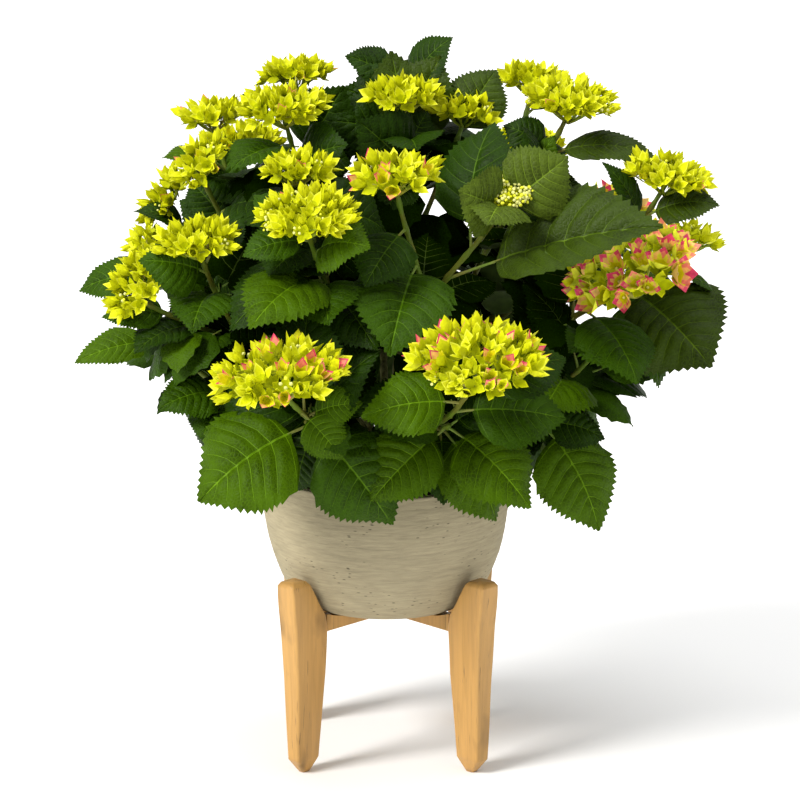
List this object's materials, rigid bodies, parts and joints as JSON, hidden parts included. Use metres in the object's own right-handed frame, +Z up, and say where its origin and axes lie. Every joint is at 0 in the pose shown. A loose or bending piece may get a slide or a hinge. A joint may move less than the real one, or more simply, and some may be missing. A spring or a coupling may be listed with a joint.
{
  "type": "potted hydrangea shrub",
  "caption": "Flowering mophead hydrangea shrub with coarse toothed leaves and lime blooms, in a round clay pot held on a wooden leg stand.",
  "frame": {"origin": "bottom centre of the bounding box, on the floor under the stand's legs", "axes": "+Z up, -Y towards the side that the lit face of the crown looks to, +X to the right of that view"},
  "size_m": [0.716, 0.6982, 0.788],
  "materials": {
    "fibre_clay": "brushed fibre clay, matt, with small pits",
    "compost": "moist dark compost",
    "stand_wood": "pale honey hardwood, lightly oiled",
    "cane_bark": "green-brown cane",
    "foliage": "quilted leaves and lime flower heads"
  },
  "bodies": {
    "root": {"pot": "fibre_clay", "soil": "compost", "leg_front_left": "stand_wood", "leg_front_right": "stand_wood", "leg_back_left": "stand_wood", "leg_back_right": "stand_wood", "cross_bar_1": "stand_wood", "cross_bar_2": "stand_wood", "stem_foot": "cane_bark", "cane_left_top": "cane_bark", "cane_left_side": "cane_bark", "cane_top_left": "cane_bark", "cane_front_upper_left": "cane_bark", "cane_top": "cane_bark", "cane_top_right": "cane_bark", "cane_front_upper_right": "cane_bark", "cane_right_side": "cane_bark", "cane_front_left": "cane_bark", "cane_front_right": "cane_bark", "cane_right_low": "cane_bark", "cane_left_low": "cane_bark", "cane_back_left": "cane_bark", "cane_back": "cane_bark", "cane_back_right": "cane_bark", "mass_left_top": "foliage", "mass_left_side": "foliage", "mass_top_left": "foliage", "mass_front_upper_left": "foliage", "mass_top": "foliage", "mass_top_right": "foliage", "mass_front_upper_right": "foliage", "mass_right_side": "foliage", "mass_front_left": "foliage", "mass_front_right": "foliage", "mass_right_low": "foliage", "mass_left_low": "foliage", "mass_back_left": "foliage", "mass_back": "foliage", "mass_back_right": "foliage"}
  },
  "joints": []
}
